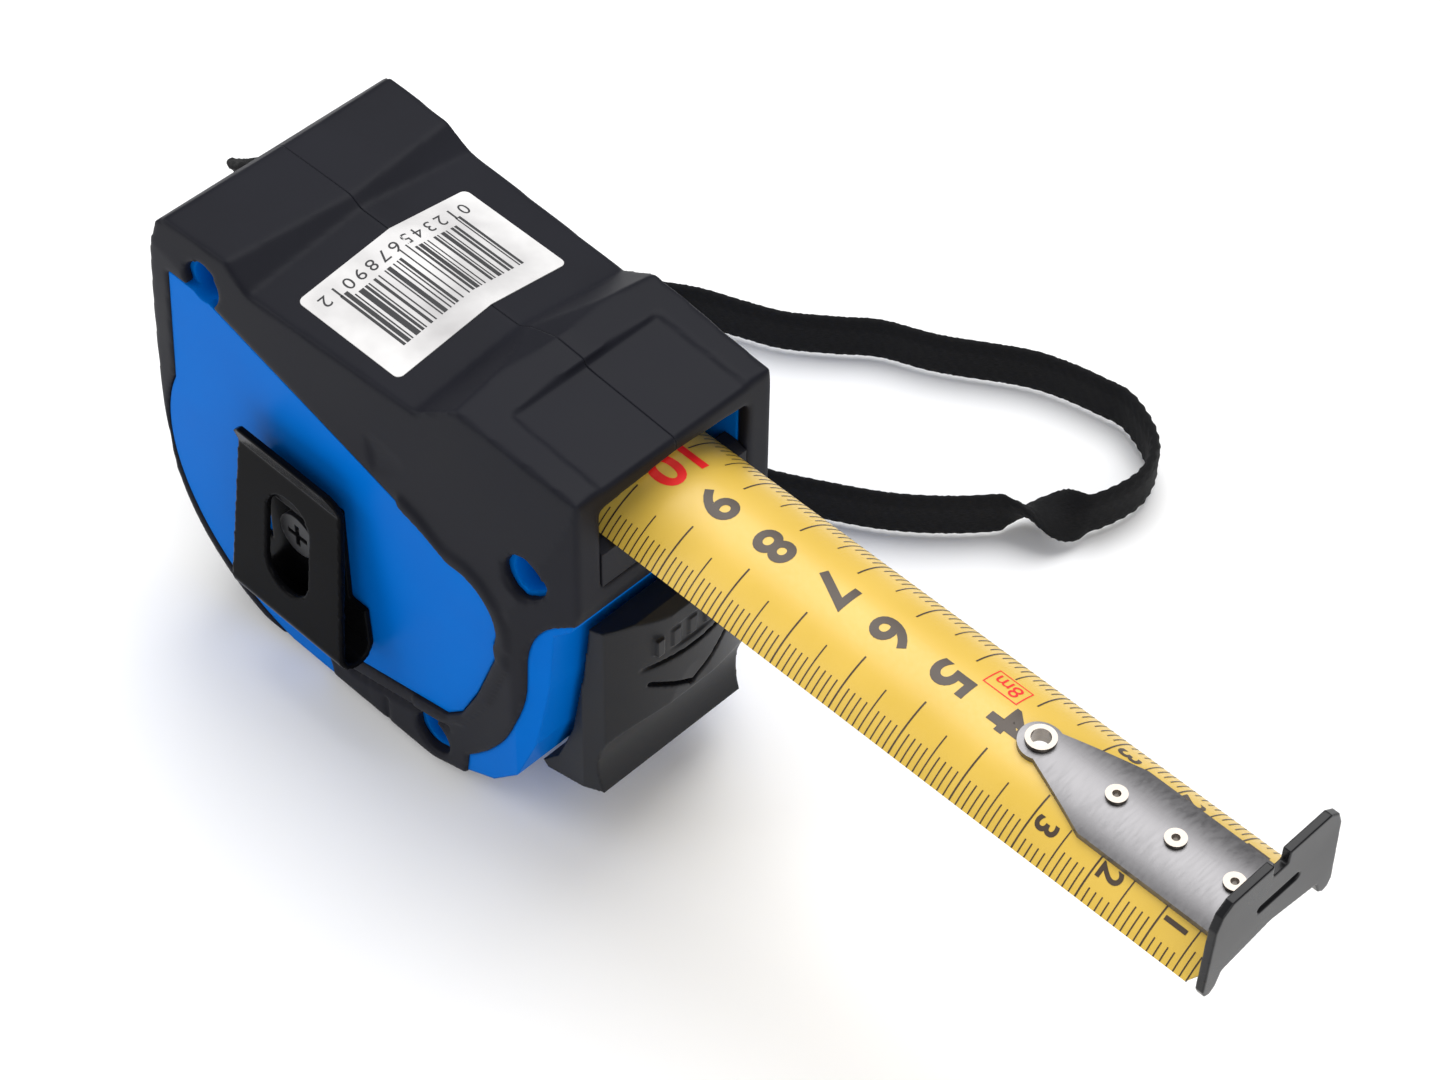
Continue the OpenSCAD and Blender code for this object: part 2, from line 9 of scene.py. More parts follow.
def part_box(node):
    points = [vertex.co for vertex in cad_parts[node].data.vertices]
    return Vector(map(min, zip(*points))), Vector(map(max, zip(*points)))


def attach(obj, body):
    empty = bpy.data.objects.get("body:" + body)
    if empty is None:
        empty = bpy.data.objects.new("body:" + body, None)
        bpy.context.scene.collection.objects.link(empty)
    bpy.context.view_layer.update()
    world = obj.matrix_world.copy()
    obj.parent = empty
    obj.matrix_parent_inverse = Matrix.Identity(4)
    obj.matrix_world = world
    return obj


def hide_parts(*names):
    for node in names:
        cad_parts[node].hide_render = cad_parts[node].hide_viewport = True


bl_info = {
    "name": "Pocket Tape Measure",
    "version": (1, 0, 0),
    "blender": (4, 5, 0),
    "location": "3D View > Sidebar > Tape Measure",
    "description": "Finishes and printed parts of a pocket tape measure over its packed frame",
    "category": "Object",
}

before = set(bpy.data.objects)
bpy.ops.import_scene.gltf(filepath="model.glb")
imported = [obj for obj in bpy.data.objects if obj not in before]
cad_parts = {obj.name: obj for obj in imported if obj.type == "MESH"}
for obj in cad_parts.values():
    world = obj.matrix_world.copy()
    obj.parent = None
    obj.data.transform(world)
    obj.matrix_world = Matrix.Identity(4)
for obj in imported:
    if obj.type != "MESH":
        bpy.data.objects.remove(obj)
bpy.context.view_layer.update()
MM = 0.001

LIP_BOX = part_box("hook_lip")
BLADE_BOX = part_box("blade")
ZERO_X = LIP_BOX[1].x
BLADE_START = BLADE_BOX[0].x
BLADE_END = BLADE_BOX[1].x
CREST_Z = BLADE_BOX[1].z

# Middle line of the wrist strap, in millimetres, from under the bar to above it
STRAP_ROUTE = [
    (-26.6, 0, 62.4), (-30.2, 0, 61.8), (-33.4, 2, 58), (-35.2, 8, 51), (-36, 17.5, 42),
    (-33.6, 27, 28), (-26, 34, 15), (-16, 39, 7.5), (-3, 41, 5), (8, 43, 4.5), (20, 46.5, 4.5),
    (32, 53, 4.5), (39.5, 58, 4.5), (46, 64, 4.5), (52.5, 71.5, 4.5), (58.5, 76.5, 4.5),
    (61, 83, 4.5), (61, 89, 4.5), (57.5, 94.5, 4.5), (50, 98, 4.5), (44.5, 97.5, 4.5),
    (38, 96, 4.5), (32, 93.5, 4.5), (21, 86.5, 4.5), (12.5, 82.5, 4.5), (7, 78, 4.5),
    (0.5, 73, 4.5), (-6, 70, 4.5), (-13, 67, 4.5), (-20, 62, 5), (-28, 54, 9), (-35.6, 43, 18),
    (-39.6, 31, 31), (-40.6, 20, 42), (-39.6, 9.6, 49.6), (-37, 3.2, 56.5), (-33.2, 0.4, 63.1),
    (-30.5, 0, 66.4), (-26.6, 0, 66.8)]
STRAP_TURN = 13.6        # point of the route where the webbing starts to turn over
STRAP_TURN_RUN = 1.6     # points that it takes to do so
STRAP_END_RUN = 6        # points over which each end turns flat on to the bar

CURVE_RADIUS = 14.6 * MM
WELD = 0.000002
PARTING_WELD = 0.000001  # finer, along the cut between the grip's halves
FIGURE_WELD = 0.002      # in millimetres, as a figure is shaped before it is scaled
STICKER_INK_LIFT = 0.015 * MM
LINE_LIFT = 0.030 * MM
FIGURE_LIFT = 0.032 * MM
RED_LIFT = 0.034 * MM


# ---------------------------------------------------------------- sizes and colours

class BladeSettings(bpy.types.PropertyGroup):
    curve_radius: bpy.props.FloatProperty(
        name="Curve radius", description="Radius of the curve across the blade",
        default=CURVE_RADIUS, unit="LENGTH")
    half_width: bpy.props.FloatProperty(
        name="Half width", description="Half of the flat width of the blade",
        default=12.5 * MM, unit="LENGTH")
    line_width: bpy.props.FloatProperty(
        name="Line width", description="Width of a millimetre line",
        default=0.19 * MM, unit="LENGTH")
    figure_height: bpy.props.FloatProperty(
        name="Figure height", description="Height of the centimetre figures",
        default=6.0 * MM, unit="LENGTH")
    yellow: bpy.props.FloatVectorProperty(
        name="Lacquer", description="Yellow lacquer of the blade", subtype="COLOR",
        default=(0.67, 0.44, 0.053))
    ink: bpy.props.FloatVectorProperty(
        name="Ink", description="Dark ink of the scale", subtype="COLOR",
        default=(0.045, 0.028, 0.016))
    red_ink: bpy.props.FloatVectorProperty(
        name="Red ink", description="Red ink of the decimetre figure", subtype="COLOR",
        default=(0.80, 0.012, 0.012))


class CaseSettings(bpy.types.PropertyGroup):
    blue: bpy.props.FloatVectorProperty(
        name="Shell", description="Blue of the moulded shell", subtype="COLOR",
        default=(0.0, 0.134, 0.55))
    rubber: bpy.props.FloatVectorProperty(
        name="Rubber", description="Black of the grip", subtype="COLOR",
        default=(0.0075, 0.0078, 0.0118))
    paper: bpy.props.FloatVectorProperty(
        name="Label", description="White of the sticker", subtype="COLOR",
        default=(0.43, 0.42, 0.42))
    softness: bpy.props.FloatProperty(
        name="Edge softness", description="Grain size used to soften the edges of the grip",
        default=0.42 * MM, unit="LENGTH")
    parting: bpy.props.FloatProperty(
        name="Parting line", description="Gap shown between the two halves of the grip",
        default=0.12 * MM, unit="LENGTH")


class StrapSettings(bpy.types.PropertyGroup):
    width: bpy.props.FloatProperty(
        name="Width", description="Width of the webbing", default=8.0 * MM, unit="LENGTH")
    thickness: bpy.props.FloatProperty(
        name="Thickness", description="Thickness of the webbing", default=2.0 * MM, unit="LENGTH")
    cotton: bpy.props.FloatVectorProperty(
        name="Webbing", description="Black of the webbing", subtype="COLOR",
        default=(0.006, 0.006, 0.0065))


# ---------------------------------------------------------------- material building

def group(name, ins, outs):
    """A node group with named inputs (name, kind, default) and outputs (name, kind)."""
    tree = bpy.data.node_groups.new(name, "ShaderNodeTree")
    for label, kind, value in ins:
        s = tree.interface.new_socket(label, in_out="INPUT", socket_type="NodeSocket" + kind)
        if value is not None:
            s.default_value = value
    for label, kind in outs:
        tree.interface.new_socket(label, in_out="OUTPUT", socket_type="NodeSocket" + kind)
    return tree, tree.nodes.new("NodeGroupInput"), tree.nodes.new("NodeGroupOutput")


def noise(tree, vector, scale, detail=3.0, rough=0.55):
    n = tree.nodes.new("ShaderNodeTexNoise")
    n.inputs["Scale"].default_value = scale
    n.inputs["Detail"].default_value = detail
    n.inputs["Roughness"].default_value = rough
    tree.links.new(vector, n.inputs["Vector"])
    return n.outputs["Fac"]


def span(tree, value, a, b, c, d):
    n = tree.nodes.new("ShaderNodeMapRange")
    for i, v in zip(("From Min", "From Max", "To Min", "To Max"), (a, b, c, d)):
        n.inputs[i].default_value = v
    tree.links.new(value, n.inputs["Value"])
    return n.outputs["Result"]


def mixed(tree, fac, a, b):
    n = tree.nodes.new("ShaderNodeMix")
    n.data_type = "RGBA"
    for label, kind, v in (("Factor", "VALUE", fac), ("A", "RGBA", a), ("B", "RGBA", b)):
        s = next(q for q in n.inputs if q.name == label and q.type == kind)
        if isinstance(v, (int, float)):
            s.default_value = v
        elif isinstance(v, (tuple, list)):
            s.default_value = (*v, 1.0)
        else:
            tree.links.new(v, s)
    return next(q for q in n.outputs if q.type == "RGBA")


def calc(tree, op, a, b=0.0):
    n = tree.nodes.new("ShaderNodeMath")
    n.operation = op
    for i, v in enumerate((a, b)):
        if isinstance(v, (int, float)):
            n.inputs[i].default_value = v
        else:
            tree.links.new(v, n.inputs[i])
    return n.outputs[0]


def grain_group():
    """Fine moulded grain: a height for the bump and a small drift of colour and gloss."""
    tree, i, o = group("Moulded grain",
                       [("Vector", "Vector", None), ("Grain", "Float", 2600.0),
                        ("Drift", "Float", 60.0)],
                       [("Height", "Float"), ("Tone", "Float"), ("Gloss", "Float")])
    n = tree.nodes.new("ShaderNodeTexNoise")
    n.inputs["Detail"].default_value = 2.0
    tree.links.new(i.outputs["Vector"], n.inputs["Vector"])
    tree.links.new(i.outputs["Grain"], n.inputs["Scale"])
    m = tree.nodes.new("ShaderNodeTexNoise")
    m.inputs["Detail"].default_value = 4.0
    tree.links.new(i.outputs["Vector"], m.inputs["Vector"])
    tree.links.new(i.outputs["Drift"], m.inputs["Scale"])
    tree.links.new(n.outputs["Fac"], o.inputs["Height"])
    tree.links.new(span(tree, m.outputs["Fac"], 0.3, 0.7, 0.0, 1.0), o.inputs["Tone"])
    tree.links.new(span(tree, m.outputs["Fac"], 0.3, 0.7, -0.05, 0.05), o.inputs["Gloss"])
    return tree


def wear_group():
    """Edge mask: where the surface turns sharply outwards it is painted lighter, as a painted edge
    highlight.
    """
    tree, i, o = group("Edge highlight",
                       [("Vector", "Vector", None), ("Low", "Float", 0.52),
                        ("High", "Float", 0.62)],
                       [("Mask", "Float")])
    g = tree.nodes.new("ShaderNodeNewGeometry")
    r = tree.nodes.new("ShaderNodeMapRange")
    tree.links.new(g.outputs["Pointiness"], r.inputs["Value"])
    tree.links.new(i.outputs["Low"], r.inputs["From Min"])
    tree.links.new(i.outputs["High"], r.inputs["From Max"])
    n = noise(tree, i.outputs["Vector"], 900.0)
    m = calc(tree, "MULTIPLY", r.outputs["Result"], span(tree, n, 0.35, 0.6, 0.55, 1.0))
    tree.links.new(m, o.inputs["Mask"])
    return tree


def brushed_group():
    """Long fine scratches along Y, for rolled and brushed steel."""
    tree, i, o = group("Brushed lines",
                       [("Vector", "Vector", None)], [("Height", "Float"), ("Gloss", "Float")])
    mp = tree.nodes.new("ShaderNodeMapping")
    mp.inputs["Scale"].default_value = (2200.0, 90.0, 2200.0)
    tree.links.new(i.outputs["Vector"], mp.inputs["Vector"])
    n = noise(tree, mp.outputs["Vector"], 1.0, 4.0, 0.7)
    tree.links.new(n, o.inputs["Height"])
    tree.links.new(span(tree, n, 0.3, 0.7, 0.24, 0.42), o.inputs["Gloss"])
    return tree


GROUPS = {}


def shared(name, make):
    if name not in GROUPS:
        GROUPS[name] = make()
    return GROUPS[name]


def new_material(name):
    """A material with its tree, its shader and the coordinates of its piece."""
    mat = bpy.data.materials.new(name)
    mat.use_nodes = True
    t = mat.node_tree
    return (mat, t, t.nodes["Principled BSDF"],
            t.nodes.new("ShaderNodeTexCoord").outputs["Object"])


def placed(tree, name, make, vector):
    """A shared node group placed in a material."""
    g = tree.nodes.new("ShaderNodeGroup")
    g.node_tree = shared(name, make)
    tree.links.new(vector, g.inputs["Vector"])
    return g


def relief(tree, bsdf, height, strength, depth):
    """A bump that feeds the shader's normal."""
    b = tree.nodes.new("ShaderNodeBump")
    b.inputs["Strength"].default_value = strength
    b.inputs["Distance"].default_value = depth
    tree.links.new(height, b.inputs["Height"])
    tree.links.new(b.outputs["Normal"], bsdf.inputs["Normal"])
    return b


def finish(name, colour, rough, light=None, grain=2600.0, bump=0.25, depth=0.02 * MM,
           coat=0.0, coat_rough=0.2, spec=0.5, edge=0.0, edge_highlight_colour=None, round_r=0.0):
    """A moulded or painted finish with grain and drift, and a painted highlight along sharp edges
    where it has one.
    """
    mat, t, bsdf, co = new_material(name)
    g = placed(t, "grain", grain_group, co)
    g.inputs["Grain"].default_value = grain
    light = light or tuple(min(1.0, c * 1.25 + 0.002) for c in colour)
    base = mixed(t, g.outputs["Tone"], colour, light)
    # painted edge highlight: a lighter colour where the edge mask finds sharp convex edges
    if edge:
        w = placed(t, "edge_highlight", wear_group, co)
        base = mixed(t, calc(t, "MULTIPLY", w.outputs["Mask"], edge), base, edge_highlight_colour)
    t.links.new(base, bsdf.inputs["Base Color"])
    t.links.new(calc(t, "ADD", g.outputs["Gloss"], rough), bsdf.inputs["Roughness"])
    bsdf.inputs["Coat Weight"].default_value = coat
    bsdf.inputs["Coat Roughness"].default_value = coat_rough
    bsdf.inputs["Specular IOR Level"].default_value = spec
    b = relief(t, bsdf, g.outputs["Height"], bump, depth)
    if round_r:
        r = t.nodes.new("ShaderNodeBevel")
        r.samples = 4
        r.inputs["Radius"].default_value = round_r
        t.links.new(r.outputs["Normal"], b.inputs["Normal"])
    return mat


def brushed(name, colour, light, rough_low=0.24, rough_high=0.42, bump=0.35):
    """Brushed metal with fine lines across the part."""
    mat, t, bsdf, co = new_material(name)
    g = placed(t, "brushed", brushed_group, co)
    t.links.new(mixed(t, g.outputs["Height"], colour, light), bsdf.inputs["Base Color"])
    t.links.new(span(t, g.outputs["Gloss"], 0.24, 0.42, rough_low, rough_high),
                bsdf.inputs["Roughness"])
    bsdf.inputs["Metallic"].default_value = 1.0
    relief(t, bsdf, g.outputs["Height"], bump, 0.006 * MM)
    return mat


def lacquer(name, colour):
    """Yellow lacquer under a clear film with a fine woven emboss."""
    threads = 14000.0    # radians of the weave in a metre
    mat, t, bsdf, co = new_material(name)
    sep = t.nodes.new("ShaderNodeSeparateXYZ")
    t.links.new(co, sep.inputs["Vector"])
    turn = calc(t, "ARCTAN2", sep.outputs["Y"],
                calc(t, "SUBTRACT", sep.outputs["Z"], CREST_Z - CURVE_RADIUS))
    arc = calc(t, "MULTIPLY", turn, CURVE_RADIUS)
    ways = [calc(t, "SINE", calc(t, "MULTIPLY", calc(t, way, sep.outputs["X"], arc), threads))
            for way in ("ADD", "SUBTRACT")]
    weave = calc(t, "MULTIPLY", *ways)
    drift = noise(t, co, 45.0, 3.0)
    fine = noise(t, co, 1500.0, 2.0)
    pale = tuple(min(1.0, c * 1.08 + 0.02) for c in colour)
    deep = tuple(c * 0.86 for c in colour)
    base = mixed(t, span(t, drift, 0.3, 0.7, 0.0, 1.0), colour, pale)
    base = mixed(t, span(t, weave, -1.0, 1.0, 0.0, 0.22), base, deep)
    t.links.new(base, bsdf.inputs["Base Color"])
    t.links.new(span(t, fine, 0.3, 0.7, 0.34, 0.46), bsdf.inputs["Roughness"])
    bsdf.inputs["Specular IOR Level"].default_value = 0.45
    bsdf.inputs["Coat Weight"].default_value = 0.25
    bsdf.inputs["Coat Roughness"].default_value = 0.28
    relief(t, bsdf, weave, 0.12, 0.02 * MM)
    return mat


def webbing(name, colour):
    """Black woven strap: dull yarn with bright filaments along each ridge, their brightness partly
    yarn tone and partly painted sheen.
    """
    mat, t, bsdf, co = new_material(name)
    uv = t.nodes.new("ShaderNodeUVMap")
    uv.uv_map = "webbing"
    mp = t.nodes.new("ShaderNodeMapping")
    mp.inputs["Scale"].default_value = (140.0, 2600.0, 1.0)
    t.links.new(uv.outputs["UV"], mp.inputs["Vector"])
    yarn = noise(t, mp.outputs["Vector"], 9.0, 4.0, 0.7)
    fuzz = noise(t, co, 5200.0, 2.0, 0.6)
    # lighter yarn streaks: partly yarn tone, partly a painted sheen of the filaments
    t.links.new(mixed(t, span(t, yarn, 0.35, 0.7, 0.0, 1.0), colour,
                      tuple(c * 1.9 + 0.004 for c in colour)), bsdf.inputs["Base Color"])
    t.links.new(span(t, yarn, 0.3, 0.7, 0.85, 0.62), bsdf.inputs["Roughness"])
    bsdf.inputs["Specular IOR Level"].default_value = 0.06
    bsdf.inputs["Sheen Weight"].default_value = 0.03
    bsdf.inputs["Sheen Roughness"].default_value = 0.5
    relief(t, bsdf, calc(t, "ADD", yarn, calc(t, "MULTIPLY", fuzz, 0.6)), 0.7, 0.06 * MM)
    return mat


# ---------------------------------------------------------------- shaping helpers

def clear():
    bpy.ops.object.select_all(action="DESELECT")


def pick(*objs):
    clear()
    for o in objs:
        o.select_set(True)
    bpy.context.view_layer.objects.active = objs[0]


def joined(objs, name):
    pick(*objs)
    if len(objs) > 1:
        bpy.ops.object.join()
    o = bpy.context.object
    o.name = o.data.name = name
    return o


def settle(o):
    pick(o)
    bpy.ops.object.transform_apply(location=True, rotation=True, scale=True)
    return o


def done(o, body, material):
    o.data.materials.clear()
    o.data.materials.append(material)
    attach(o, body)
    return o


def copy_of(node, name):
    """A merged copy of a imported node's mesh, ready for mesh work."""
    o = bpy.data.objects.new(name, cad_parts[node].data.copy())
    bpy.context.scene.collection.objects.link(o)
    o.data.name = name
    pick(o)
    bpy.ops.object.mode_set(mode="EDIT")
    bpy.ops.mesh.select_all(action="SELECT")
    bpy.ops.mesh.remove_doubles(threshold=WELD)
    bpy.ops.mesh.customdata_custom_splitnormals_clear()
    bpy.ops.object.mode_set(mode="OBJECT")
    return o


def soften(o, voxel, rounds):
    """Rounds the edges of a copy, as a soft moulding has."""
    pick(o)
    m = o.modifiers.new("voxels", "REMESH")
    m.mode = "VOXEL"
    m.voxel_size = voxel
    bpy.ops.object.modifier_apply(modifier=m.name)
    m = o.modifiers.new("smooth", "SMOOTH")
    m.factor = 0.5
    m.iterations = rounds
    bpy.ops.object.modifier_apply(modifier=m.name)
    bpy.ops.object.shade_smooth()
    return o


def cut_half(o, name, side, gap):
    """The half of a closed moulding on one side of the parting plane, with a flat face there."""
    h = o.copy()
    h.data = o.data.copy()
    h.name = h.data.name = name
    bpy.context.scene.collection.objects.link(h)
    pick(h)
    bpy.ops.object.mode_set(mode="EDIT")
    bpy.ops.mesh.select_all(action="SELECT")
    bpy.ops.mesh.bisect(plane_co=(0, side * gap / 2, 0), plane_no=(0, side, 0), use_fill=True,
                        clear_inner=True, threshold=PARTING_WELD)
    bpy.ops.object.mode_set(mode="OBJECT")
    return h


def coat_node(node, material):
    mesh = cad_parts[node].data
    mesh.materials.clear()
    mesh.materials.append(material)


def wrap_on_blade(o, lift):
    """Bends a flat drawing, x along and y across, onto the top of the blade."""
    s = bpy.context.scene.tape_blade
    mid = CREST_Z - s.curve_radius
    for v in o.data.vertices:
        a = v.co.y / s.curve_radius
        r = s.curve_radius + lift + v.co.z
        v.co = (v.co.x, r * math.sin(a), mid + r * math.cos(a))
    o.data.update()


def line(x0, y0, x1, y1, cuts):
    """A flat bar between two corners, cut across so that it can bend."""
    bpy.ops.mesh.primitive_plane_add(size=1, location=((x0 + x1) / 2, (y0 + y1) / 2, 0))
    o = bpy.context.object
    o.scale = (abs(x1 - x0), abs(y1 - y0), 1)
    settle(o)
    if cuts:
        bpy.ops.object.mode_set(mode="EDIT")
        bpy.ops.mesh.select_all(action="SELECT")
        bpy.ops.mesh.subdivide(number_cuts=cuts)
        bpy.ops.object.mode_set(mode="OBJECT")
    return o


def figure(text, height, x, y, turn, bold, squeeze=1.0, cell=0.4 * MM):
    """A flat printed figure centred at a point, turned about the vertical.

    It is cut across at every cell, so that it can bend.
    """
    bpy.ops.object.text_add(location=(0, 0, 0))
    o = bpy.context.object
    o.data.body = text
    o.data.align_x = "CENTER"
    o.data.align_y = "CENTER"
    o.data.size = 10.0
    o.data.offset = bold
    o.data.resolution_u = 5
    bpy.ops.object.convert(target="MESH")
    o = bpy.context.object
    lo = Vector((min(v.co.x for v in o.data.vertices), min(v.co.y for v in o.data.vertices), 0))
    hi = Vector((max(v.co.x for v in o.data.vertices), max(v.co.y for v in o.data.vertices), 0))
    k = height / MM / (hi.y - lo.y)
    o.data.transform(Matrix.Translation(-(lo + hi) / 2))
    o.data.transform(Matrix.Diagonal((k * squeeze, k, 1, 1)))
    o.data.transform(Matrix.Rotation(math.radians(turn), 4, "Z"))
    half = max(max(abs(v.co.x), abs(v.co.y)) for v in o.data.vertices)
    bpy.ops.object.mode_set(mode="EDIT")
    bpy.ops.mesh.select_all(action="SELECT")
    bpy.ops.mesh.remove_doubles(threshold=FIGURE_WELD)
    step = cell / MM
    n = -int(half / step)
    while n * step < half:
        bpy.ops.mesh.select_all(action="SELECT")
        bpy.ops.mesh.bisect(plane_co=(0, n * step, 0), plane_no=(0, 1, 0),
                            threshold=FIGURE_WELD)
        n += 1
    bpy.ops.object.mode_set(mode="OBJECT")
    o.data.transform(Matrix.Translation((x, y, 0)) @ Matrix.Diagonal((MM, MM, MM, 1)))
    return o


def drape_on(o, node, lift):
    """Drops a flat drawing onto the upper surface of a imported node."""
    above = 0.2    # well over the case
    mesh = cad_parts[node].data
    tree = BVHTree.FromPolygons([v.co for v in mesh.vertices], [p.vertices for p in mesh.polygons])
    for v in o.data.vertices:
        v.co.z += tree.ray_cast(Vector((v.co.x, v.co.y, above)), Vector((0, 0, -1)))[0].z + lift
    o.data.update()


# ---------------------------------------------------------------- strap

def spline_point(points, s):
    """A point on the smooth curve through the points, by its count along them."""
    last = len(points) - 1
    i = min(last - 1, int(s))
    t = s - i
    a, b, c, d = (Vector(points[max(0, min(last, j))]) for j in (i - 1, i, i + 1, i + 2))
    return 0.5 * (2 * b + (c - a) * t + (2 * a - 5 * b + 4 * c - d) * t * t
                  + (3 * b - a - 3 * c + d) * t ** 3)


def clamp(v):
    return max(0.0, min(1.0, v))


def strap_angle(s, last):
    """How far the webbing is turned about its line: flat at both ends, turned over between."""
    return math.radians(90 * clamp(1 - s / STRAP_END_RUN)
                        + 180 * clamp((s - STRAP_TURN) / STRAP_TURN_RUN)
                        + 90 * clamp(1 - (last - s) / STRAP_END_RUN))


def strap_line(step):
    """Points, directions and turns along the webbing at an even step."""
    last = len(STRAP_ROUTE) - 1
    parts = 4000
    fine = [k * last / parts for k in range(parts + 1)]
    pts = [spline_point(STRAP_ROUTE, s) for s in fine]
    out, run, mark = [], 0.0, 0.0
    for k, s in enumerate(fine):
        if k:
            run += (pts[k] - pts[k - 1]).length
        if run >= mark or k == len(fine) - 1:
            d = (spline_point(STRAP_ROUTE, min(last, s + 0.05))
                 - spline_point(STRAP_ROUTE, max(0, s - 0.05))).normalized()
            out.append((pts[k] * MM, d, strap_angle(s, last), run * MM))
            mark += step
    return out, run * MM


class TAPE_OT_strap(bpy.types.Operator):
    """Weave the wrist strap along its route"""
    bl_idname = "tape.strap"
    bl_label = "Wrist strap"

    def execute(self, context):
        p = context.scene.tape_strap
        rings, length = strap_line(0.45)
        sides = 28
        lanes = 8
        stitch_pitch = 2.1 * MM
        edge_pitch = 1.9 * MM
        bm = bmesh.new()
        uv = bm.loops.layers.uv.new("webbing")
        rows = []
        for at, d, turn, run in rings:
            e = (Vector((0, 0, 1)) - d * d.z).normalized()
            f = d.cross(e)
            v = e * math.cos(turn) + f * math.sin(turn)
            n = v.cross(d)
            row = []
            for k in range(sides):
                a = 2 * math.pi * k / sides
                ca, sa = math.cos(a), math.sin(a)
                across = p.width / 2 * math.copysign(abs(sa) ** 0.55, sa)
                up = p.thickness / 2 * math.copysign(abs(ca) ** 0.75, ca)
                u = across / p.width * lanes
                side = 1 if ca >= 0 else -1
                lane = math.floor(u)
                phase = run / stitch_pitch + (0.5 if lane % 2 else 0.0) + 0.25 * side
                rib = math.sin(math.pi * (u - lane))
                stitch = 0.5 + 0.5 * math.sin(2 * math.pi * phase)
                ridge = (0.24 * stitch * rib - 0.17) * MM * (1 if abs(ca) > 0.25 else 0.5)
                edge = 0.16 * MM * math.sin(2 * math.pi * run / edge_pitch) * abs(sa) ** 6
                row.append(bm.verts.new(at + n * (up + side * ridge)
                                        + v * (across * 0.97 + math.copysign(edge, sa))))
            rows.append((row, run))
        for (a, ra), (b, rb) in zip(rows, rows[1:]):
            for k in range(sides):
                m = (k + 1) % sides
                face = bm.faces.new((a[k], a[m], b[m], b[k]))
                face.smooth = True
                for loop, (uu, vv) in zip(face.loops, ((ra, k), (ra, k + 1), (rb, k + 1), (rb, k))):
                    loop[uv].uv = (uu, vv / sides * 0.02)
        bm.faces.new(rows[0][0][::-1])
        bm.faces.new(rows[-1][0])
        bmesh.ops.recalc_face_normals(bm, faces=bm.faces)
        mesh = bpy.data.meshes.new("strap_webbing")
        bm.to_mesh(mesh)
        bm.free()
        o = bpy.data.objects.new("strap_webbing", mesh)
        context.scene.collection.objects.link(o)
        done(o, "case", webbing("Black webbing", tuple(p.cotton)))
        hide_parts("wrist_strap")
        return {"FINISHED"}


# ---------------------------------------------------------------- case

class TAPE_OT_case(bpy.types.Operator):
    """Soften the rubber grips and finish the blue shell halves"""
    bl_idname = "tape.case"
    bl_label = "Case and grips"

    def execute(self, context):
        p = context.scene.tape_case
        # the grip rubber gets a painted edge highlight, lighter along its sharp edges
        rubber = finish("Grip rubber", tuple(p.rubber), 0.5, grain=3200.0, bump=0.22,
                        depth=0.03 * MM, edge=0.3, edge_highlight_colour=(0.03, 0.032, 0.04), spec=0.1)
        blue = finish("Blue shell", tuple(p.blue), 0.34, grain=3000.0, bump=0.12,
                      depth=0.02 * MM, round_r=0.5 * MM, spec=0.015,
                      light=(0.0, 0.146, 0.58))
        both = [copy_of("grip_" + side, "grip_" + side + "_copy") for side in ("left", "right")]
        seam = 0.15 * MM
        for o in both:
            for v in o.data.vertices:
                if abs(v.co.y) < seam:
                    v.co.y = 0.0
        whole = soften(joined(both, "grip_moulding"), p.softness * (1), 5)
        for side, sign in (("left", -1), ("right", 1)):
            o = cut_half(whole, "rubber_grip_" + side, sign, p.parting)
            done(o, "case", rubber)
            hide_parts("grip_" + side)
            coat_node("shell_" + side, blue)
        bpy.data.objects.remove(whole)
        plain = finish("Bumper rubber", tuple(p.rubber), 0.55, grain=3200.0, bump=0.25,
                       depth=0.03 * MM, spec=0.15, round_r=0.4 * MM)
        coat_node("mouth_bumper", plain)
        coat_node("brake_pad", plain)
        return {"FINISHED"}


class TAPE_OT_label(bpy.types.Operator):
    """Print plain bars and a row of dummy figures on the sticker"""
    bl_idname = "tape.label"
    bl_label = "Bar sticker"

    def execute(self, context):
        p = context.scene.tape_case
        paper = finish("Sticker paper", tuple(p.paper), 0.55, grain=1800.0, bump=0.1,
                       depth=0.01 * MM, light=(0.86, 0.85, 0.84))
        coat_node("barcode_label", paper)
        lo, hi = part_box("barcode_label")
        widths = [2, 1, 3, 1, 1, 2, 4, 1, 2, 1, 1, 3, 2, 2, 1, 4, 1, 1, 3, 2, 1, 2, 1, 1, 2, 3, 1,
                  4, 1, 2, 2, 1, 3, 1, 1, 2, 1, 4, 2, 1, 1, 2, 3, 1, 1, 3, 2, 1, 2, 4, 1, 1, 2, 1]
        long_bars = (0, 2, 26, 28, 50, 52)
        margin = 4.2 * MM
        unit = (hi.y - lo.y - 2 * margin) / sum(widths)
        bars = []
        y = lo.y + margin
        for n, w in enumerate(widths):
            if n % 2 == 0:
                ext = 1.2 * MM if n in long_bars else 0.0
                bars.append(line(lo.x + 5.0 * MM - ext, y, hi.x - 3.6 * MM, y + w * unit, 0))
            y += w * unit
        o = joined(bars, "sticker_bars")
        drape_on(o, "barcode_label", STICKER_INK_LIFT)
        ink = finish("Sticker ink", (0.012, 0.012, 0.014), 0.6, grain=2500.0, bump=0.05)
        done(o, "case", ink)
        spacing = 2.05 * MM
        marks = [figure(c, 2.1 * MM, lo.x + 3.0 * MM, hi.y - 3.0 * MM - n * spacing, -90, 0.0,
                        cell=4 * MM)
                 for n, c in enumerate("0123456789012")]
        o = joined(marks, "sticker_figures")
        drape_on(o, "barcode_label", STICKER_INK_LIFT)
        done(o, "case", ink)
        return {"FINISHED"}


